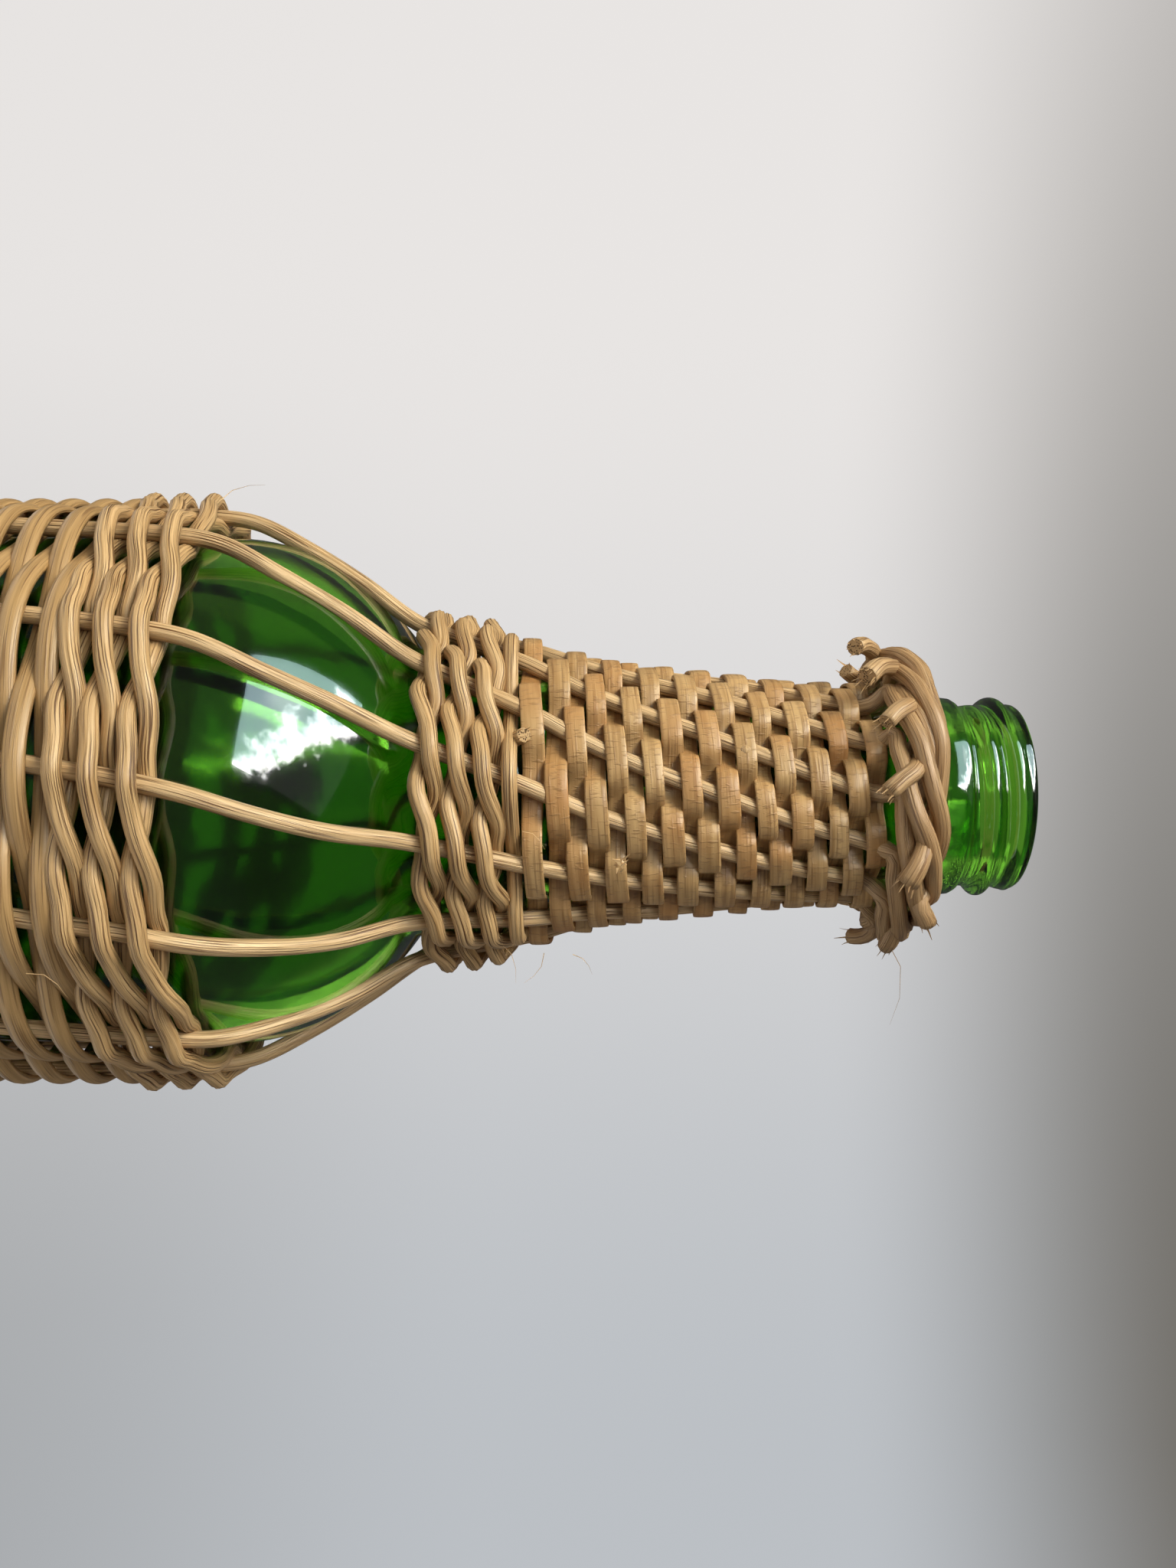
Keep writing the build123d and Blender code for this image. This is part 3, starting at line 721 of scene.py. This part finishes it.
def buildLeafNode(name, place):
    # a small raised swelling across the strip
    steps = leafNode["steps"]
    path = [canePoint(place + leafNode["length"] * (i / (steps - 1) - 0.5)) for i in range(steps)]
    path = [point + radial(point) * (cane["thick"] / 2 - leafNode["sunk"]) for point in path]
    sweepStrand(name, path, flatSection(leafNode["width"], leafNode["thick"], leafNode["crown"]), roundSkin,
                swell=lambda i, run: 0.35 + 0.65 * sin(pi * (i + 0.5) / steps))


for number, place in enumerate(leafNode["places"]):
    buildLeafNode(f"caneNode{number + 1}", place)
chip = dict(place=(27.5, 20.6, 242.6), flakes=9, thick=0.26)
pick = Random(12)
for flake in range(chip["flakes"]):
    aside = Vector((pick.uniform(-0.8, 0.8), pick.uniform(-0.3, 0.2), pick.uniform(-0.8, 0.8)))
    lift = Vector((pick.uniform(-1, 1), -pick.uniform(0.1, 0.7), pick.uniform(-1, 1)))
    root = ringPoint(*chip["place"]) + aside
    addSplinter([root, root + lift * 0.6, root + lift * 1.1], chip["thick"])

# Loose fibres: where each one leaves the reeds, which way it points and how long it is
hairs = [(-76, 42.5, 186.0, (-3, 1, 7), 7), (62, 24.6, 226.0, (7, -2, 3), 6),
         (70, 25.0, 232.0, (6, -1, -4), 5), (75, 24.8, 236.0, (5, 0, 5), 4),
         (80, 21.5, 281.0, (14, 0, 1), 13), (-8, 43.4, 158.0, (2, -1, 7), 6),
         (31, 43.4, 171.0, (3, -1, 6), 6), (12, 24.4, 229.5, (3, -2, 4), 4),
         (150, 43.0, 120.0, (1, 2, 7), 6), (215, 43.0, 90.0, (-2, 1, -6), 6),
         (100, 43.0, 60.0, (2, 2, 6), 6)]
hair = dict(sunk=1.0, bow=0.16, thick=0.07)
for angle, reach, z, move, long in hairs:
    root = ringPoint(angle, reach - hair["sunk"], z)
    move = Vector(move).normalized() * long
    bow = move.cross(Vector((0.2, 0.9, 0.4))).normalized() * long * hair["bow"]
    addSplinter([root, root + move * 0.35 + bow, root + move * 0.7 + bow * 0.8, root + move], hair["thick"])
fray = bpy.data.meshes.new("frayedFibres")
fray.from_pydata(frayPoints, [], frayFaces)
fray.materials.append(stakeSkin)
frayPiece = bpy.data.objects.new("frayedFibres", fray)
bpy.context.scene.collection.objects.link(frayPiece)
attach(frayPiece, "root")

# Base: spokes and the reed woven round them
base = dict(spoke=0.95, spokeHeight=3.1, spokeStart=3.4, spokeStep=3.3, spokeKnots=11, weaver=0.75,
            seating=0.98, inner=9.0, pitch=1.75, turns=14, fine=8, sides=10, ridges=0.04)


def basePoint(place):
    reach = (base["spoke"] + base["weaver"]) * base["seating"]
    return ringPoint(place * stakeStep, base["inner"] + base["pitch"] * place / stakeCount,
                     base["spokeHeight"] + reach * cos(pi * place))


for index in range(stakeCount):
    knots = [ringPoint(index * stakeStep, base["spokeStart"] + i * base["spokeStep"], base["spokeHeight"])
             for i in range(base["spokeKnots"])]
    section = roundSection(base["spoke"], base["sides"], base["ridges"], index)
    sweepStrand(f"spoke{index + 1:02d}", smoothPath(knots, 3.0), section, roundSkin,
                "base_spokes" if index == 0 else None, outward=lambda point: Vector((0, 0, 1)))
path = [basePoint(i / base["fine"]) for i in range(stakeCount * base["turns"] * base["fine"])]
section = roundSection(base["weaver"], base["sides"], base["ridges"], 9)
sweepStrand("baseWeaver", path, section, roundSkin, "base_weaver")
print("base woven")

# Floor and the window that the glass mirrors
stage = dict(floor=0.31, floorSides=96, floorDrop=0.0002, floorColor=(0.72, 0.715, 0.705, 1),
             target=(0, 0, 0.21), windowSize=1.15, windowAway=1.1, windowSide=(-0.43, -0.56, 0.71))
window = dict(blue=(0.62, 0.87, 0.92), cloud=(1.0, 1.0, 0.97), power=(5.0, 24.0), softShare=0.42,
              puffs=(4.5, 7.0, 0.62), cloudRange=(0.5, 0.68), fallRange=(-0.28, 0.42), fall=(0.24, -0.14),
              leaves=(9.0, 8.0), leafShare=0.7, leafRange=(0.02, 0.14), leafPower=0.01)
target = Vector(stage["target"])
bpy.ops.object.select_all(action="DESELECT")
bpy.ops.mesh.primitive_circle_add(vertices=stage["floorSides"], radius=stage["floor"], fill_type="NGON",
                                  location=(0, 0, -stage["floorDrop"]))
floorPiece = bpy.context.active_object
floorPiece.name = "floor"
floorSkin = newMaterial("paleFloor", {"Base Color": stage["floorColor"], "Roughness": 0.9})[0]
floorPiece.data.materials.append(floorSkin)


def mirroredShare(tree, rays, straight, x, y):
    # one for what a gloss mirrors; light through the glass counts as glossy too, and is taken off
    return addMath(tree, "SUBTRACT", x, y, rays["Is Glossy Ray"], straight, clamp=True)


def windowMaterial():
    # a grey-blue sky with one bright cloud, and the leaves of the trees outside across its lower corner
    material = bpy.data.materials.new("windowSky")
    tree = emptyTree(material)
    place = addNode(tree, "ShaderNodeTexCoord", -900, 0).outputs["Object"]
    corner = addNode(tree, "ShaderNodeSeparateXYZ", -700, -200, {0: place}).outputs
    slant = addMath(tree, "SUBTRACT", -500, -200, corner["X"], corner["Y"])
    fall = addRange(tree, slant, -300, -160, *window["fallRange"], *window["fall"])
    puffs = addMath(tree, "ADD", -100, 0, addNoise(tree, place, -500, 100, *window["puffs"]), fall)
    cloud = addRange(tree, puffs, 80, 0, *window["cloudRange"])
    leaves = addNoise(tree, place, -500, -420, *window["leaves"])
    ragged = addMath(tree, "MULTIPLY_ADD", -300, -420, leaves, window["leafShare"], slant)
    aboveLeaves = addRange(tree, ragged, -100, -420, *window["leafRange"], window["leafPower"])
    color = addMix(tree, cloud, 260, 120, window["blue"], window["cloud"])
    power = addRange(tree, cloud, 260, -120, 0.0, 1.0, *window["power"])
    rays = addNode(tree, "ShaderNodeLightPath", 0, -400).outputs
    mirrored = mirroredShare(tree, rays, rays["Is Transmission Ray"], 100, -520)
    seen = addRange(tree, mirrored, 200, -400, 0.0, 1.0, window["softShare"])
    clearSky = addMath(tree, "MULTIPLY", 320, -300, seen, aboveLeaves)
    strength = addMath(tree, "MULTIPLY", 440, -200, power, clearSky)
    shine = addNode(tree, "ShaderNodeEmission", 600, 0, {"Color": color, "Strength": strength})
    addNode(tree, "ShaderNodeOutputMaterial", 800, 0, {"Surface": shine.outputs["Emission"]})
    return material


toward = Vector(stage["windowSide"]).normalized()
bpy.ops.object.select_all(action="DESELECT")
bpy.ops.mesh.primitive_plane_add(size=stage["windowSize"])
windowPane = bpy.context.active_object
windowPane.name = "windowPane"
windowPane.location = target + toward * stage["windowAway"]
windowPane.rotation_euler = (-toward).to_track_quat("Z", "Y").to_euler()
windowPane.data.materials.append(windowMaterial())
windowPane.visible_camera = False

# Room: pale on the near side of the window, cooler beyond, and dim at both far ends
room = dict(pale=(0.81, 0.785, 0.77), cool=(0.50, 0.525, 0.555), dim=(0.15, 0.138, 0.118), dimShare=0.35,
            light=0.46, gloss=0.18, coolRange=(-0.38, 0.5), upperRange=(0.17, 0.425),
            upperFade=(-0.5, 0.42, 0.5, 1.0), lowerRange=(-0.05, -0.45), lowerFade=(-0.3, 0.35, 0.02, 0.32))
world = bpy.data.worlds.new("paleRoom")
bpy.context.scene.world = world
sky = emptyTree(world)
direction = addNode(sky, "ShaderNodeTexCoord", -600, 0).outputs["Generated"]
axes = addNode(sky, "ShaderNodeSeparateXYZ", -400, 0, {0: direction}).outputs
cool = addRange(sky, axes["X"], -200, 300, *room["coolRange"], kind="SMOOTHSTEP")
wall = addMix(sky, cool, 120, 200, room["pale"], room["cool"])
upperEnd = addRange(sky, axes["Z"], -200, 60, *room["upperRange"], kind="SMOOTHSTEP")
upperFade = addRange(sky, axes["X"], -200, -140, *room["upperFade"])
upperEnd = addMath(sky, "MULTIPLY", 0, 0, upperEnd, upperFade)
lowerEnd = addRange(sky, axes["Z"], -200, -340, *room["lowerRange"], kind="SMOOTHSTEP")
lowerFade = addRange(sky, axes["X"], -200, -540, *room["lowerFade"])
lowerEnd = addMath(sky, "MULTIPLY", 0, -400, lowerEnd, lowerFade)
rays = addNode(sky, "ShaderNodeLightPath", 0, -300).outputs
# the dim ends are for the camera, and the light from there is more even
dimSeen = addRange(sky, rays["Is Camera Ray"], 120, -240, 0.0, 1.0, room["dimShare"])
dimmed = addMath(sky, "MULTIPLY", 220, -120, addMath(sky, "MAXIMUM", 120, -60, upperEnd, lowerEnd), dimSeen)
# the wall shows at full strength to the camera and through glass, and lights the wicker less
straight = addMath(sky, "MAXIMUM", 200, -300, rays["Is Camera Ray"], rays["Is Transmission Ray"])
level = addRange(sky, straight, 400, -300, 0.0, 1.0, room["light"])
gloss = addRange(sky, mirroredShare(sky, rays, straight, 200, -560), 400, -560, 0.0, 1.0, 1.0, room["gloss"])
color = addMix(sky, dimmed, 300, 100, wall, room["dim"])
strength = addMath(sky, "MULTIPLY", 560, -360, level, gloss)
skyLight = addNode(sky, "ShaderNodeBackground", 600, 0, {"Color": color, "Strength": strength})
addNode(sky, "ShaderNodeOutputWorld", 800, 0, {"Surface": skyLight.outputs[0]})

# Lamps: side, distance, size, power and colour
lamps = dict(keyLight=((-0.62, -0.5, 0.6), 1.0, 0.3, 7.0, (1.0, 0.97, 0.92)),
             fillLight=((-0.9, 0.35, 0.1), 1.4, 1.2, 3.0, (1.0, 0.98, 0.95)),
             backLight=((0.75, 0.8, 0.3), 1.4, 1.2, 5.0, (1.0, 0.99, 0.97)))
for name, (side, distance, size, power, color) in lamps.items():
    data = bpy.data.lights.new(name, "AREA")
    data.shape, data.size = "SQUARE", size
    data.energy, data.color = power, color
    lamp = bpy.data.objects.new(name, data)
    bpy.context.scene.collection.objects.link(lamp)
    lamp.location = target + Vector(side).normalized() * distance
    lamp.rotation_euler = (target - lamp.location).to_track_quat("-Z", "Y").to_euler()
    lamp.visible_glossy = False

# Camera: close to the neck, with the picture turned on its side
view = dict(distance=192.0, height=238.0, aside=-1.36, turn=0.45, lens=29.9, sensor=36.0, clipStart=0.01)
cameraData = bpy.data.cameras.new("camera")
cameraData.lens, cameraData.sensor_width = view["lens"], view["sensor"]
cameraData.clip_start = view["clipStart"]
camera = bpy.data.objects.new("camera", cameraData)
bpy.context.scene.collection.objects.link(camera)
turn = radians(view["turn"])
right = Vector((-sin(turn), 0, cos(turn)))
up = Vector((-cos(turn), 0, -sin(turn)))
back = right.cross(up)
place = Vector((view["aside"], -view["distance"], view["height"])) * mm
camera.matrix_world = Matrix.Translation(place) @ Matrix((right, up, back)).transposed().to_4x4()
bpy.context.scene.camera = camera
bpy.context.scene.view_settings.view_transform = "Standard"
print("stage set")
